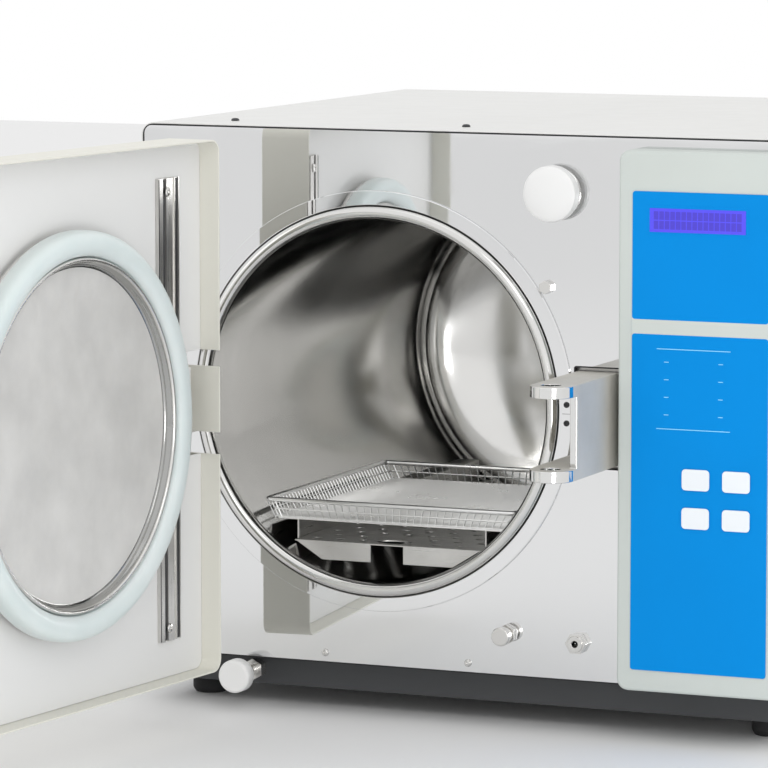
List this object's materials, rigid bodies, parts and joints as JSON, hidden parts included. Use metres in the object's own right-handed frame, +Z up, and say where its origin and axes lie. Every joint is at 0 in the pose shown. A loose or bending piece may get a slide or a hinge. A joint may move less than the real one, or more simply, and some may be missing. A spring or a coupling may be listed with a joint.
{
  "type": "benchtop autoclave",
  "caption": "Horizontal benchtop steam steriliser with a round chamber, a hinged door shown open, a wire basket, a perforated tray and a side control panel.",
  "frame": {"origin": "centre of the footprint of the whole part with its door stored open, on the surface that the feet stand on", "axes": "+X to the right seen from the front, +Y into the chamber, +Z up"},
  "size_m": [0.8034, 1.3628, 0.634],
  "materials": {
    "paint": "satin powder coat",
    "door_paint": "satin powder coat",
    "housing_paint": "fine satin moulding",
    "mirror_steel": "mirror-polished stainless steel",
    "polished_steel": "polished stainless steel",
    "brushed_steel": "brushed stainless steel",
    "wire_steel": "electropolished wire",
    "galvanised": "galvanised sheet",
    "dark_steel": "matt dark coat",
    "white_plastic": "smooth white moulding",
    "key_plastic": "embossed film",
    "black_plastic": "fine texture",
    "rubber": "matt",
    "silicone": "translucent silicone",
    "blue_film": "printed polyester film",
    "lcd": "backlit display",
    "wool": "mineral wool with a foil face",
    "board": "solder mask",
    "brass": "turned brass"
  },
  "bodies": {
    "cabinet": {"cabinet_cover": "paint", "base_tray": "dark_steel", "rear_panel": "galvanised", "front_panel_upper": "mirror_steel", "front_panel_lower": "mirror_steel", "foot_front_left": "rubber", "foot_front_right": "rubber", "foot_rear_left": "rubber", "foot_rear_right": "rubber", "cover_screw_left": "dark_steel", "cover_screw_right": "dark_steel", "panel_screw_left": "brushed_steel", "panel_screw_right": "brushed_steel", "chamber_shell": "polished_steel", "chamber_front_ring": "mirror_steel", "insulation_jacket": "wool", "door_yoke": "brushed_steel", "chamber_saddle_front": "galvanised", "chamber_saddle_rear": "galvanised", "heating_element": "polished_steel", "side_rack_left": "brushed_steel", "side_rack_right": "brushed_steel", "hinge_bracket": "brushed_steel", "hinge_pin": "brushed_steel", "latch_bracket": "brushed_steel", "air_filter_collar": "brushed_steel", "air_filter_cap": "white_plastic", "ring_clamp_bolt": "polished_steel", "validation_port": "brushed_steel", "validation_cap": "brushed_steel", "outlet_fitting": "brushed_steel", "drain_valve_stem": "brushed_steel", "control_housing": "housing_paint", "membrane_panel": "blue_film", "display_window": "lcd", "control_board": "board", "power_module": "galvanised", "vacuum_pump": "dark_steel", "safety_valve": "brass", "power_inlet": "black_plastic"},
    "door": {"door_cover": "door_paint", "door_inner_panel": "door_paint", "pressure_lid": "polished_steel", "door_gasket": "silicone", "crossbar": "door_paint", "lid_stud": "brushed_steel", "door_rail": "brushed_steel", "rail_screw_upper": "brushed_steel", "rail_screw_lower": "brushed_steel"},
    "lock_bolt_upper": {"lock_bolt_upper": "brushed_steel"},
    "lock_bolt_lower": {"lock_bolt_lower": "brushed_steel"},
    "closing_handle": {"closing_handle": "black_plastic"},
    "tray": {"perforated_tray": "brushed_steel"},
    "basket": {"wire_basket": "wire_steel"},
    "drain_knob": {"drain_valve_knob": "white_plastic"},
    "switch_rocker": {"main_switch": "black_plastic"},
    "key_start": {"key_start": "key_plastic"},
    "key_stop": {"key_stop": "key_plastic"},
    "key_up": {"key_up": "key_plastic"},
    "key_down": {"key_down": "key_plastic"}
  },
  "joints": [
    {"name": "door_hinge", "type": "hinge", "parent": "cabinet", "child": "door", "pos_m": [-0.3063, -0.15449, 0.3345], "axis": [0, 0, -1], "range_deg": [-96, 70]},
    {"name": "handle_turn", "type": "hinge", "parent": "door", "child": "closing_handle", "pos_m": [-0.35784, -0.64478, 0.3345], "axis": [0.9945, -0.1045, 0], "range_deg": [0, 90]},
    {"name": "upper_bolt_slide", "type": "slide", "parent": "door", "child": "lock_bolt_upper", "axis": [0, 0, 1], "range_m": [0, 0.0145]},
    {"name": "lower_bolt_slide", "type": "slide", "parent": "door", "child": "lock_bolt_lower", "axis": [0, 0, -1], "range_m": [0, 0.0145]},
    {"name": "tray_slide", "type": "slide", "parent": "cabinet", "child": "tray", "axis": [0, -1, 0], "range_m": [0, 0.42]},
    {"name": "basket_slide", "type": "slide", "parent": "cabinet", "child": "basket", "axis": [0, -1, 0], "range_m": [0, 0.12]},
    {"name": "drain_turn", "type": "hinge", "parent": "cabinet", "child": "drain_knob", "pos_m": [-0.2143, -0.04448, 0.039], "axis": [0, -1, 0], "range_deg": [0, 360]},
    {"name": "main_switch_rock", "type": "hinge", "parent": "cabinet", "child": "switch_rocker", "pos_m": [0.3417, 0.67151, 0.159], "axis": [1, 0, 0], "range_deg": [0, 12]},
    {"name": "key_start_press", "type": "slide", "parent": "cabinet", "child": "key_start", "axis": [0, 1, 0], "range_m": [0, 0.0004], "stiffness_N_per_m": 900},
    {"name": "key_stop_press", "type": "slide", "parent": "cabinet", "child": "key_stop", "axis": [0, 1, 0], "range_m": [0, 0.0004], "stiffness_N_per_m": 900},
    {"name": "key_up_press", "type": "slide", "parent": "cabinet", "child": "key_up", "axis": [0, 1, 0], "range_m": [0, 0.0004], "stiffness_N_per_m": 900},
    {"name": "key_down_press", "type": "slide", "parent": "cabinet", "child": "key_down", "axis": [0, 1, 0], "range_m": [0, 0.0004], "stiffness_N_per_m": 900}
  ],
  "couplings": [
    {"joint": "upper_bolt_slide", "follows": "handle_turn", "m_per_rad": 0.008913},
    {"joint": "lower_bolt_slide", "follows": "handle_turn", "m_per_rad": 0.008913}
  ]
}
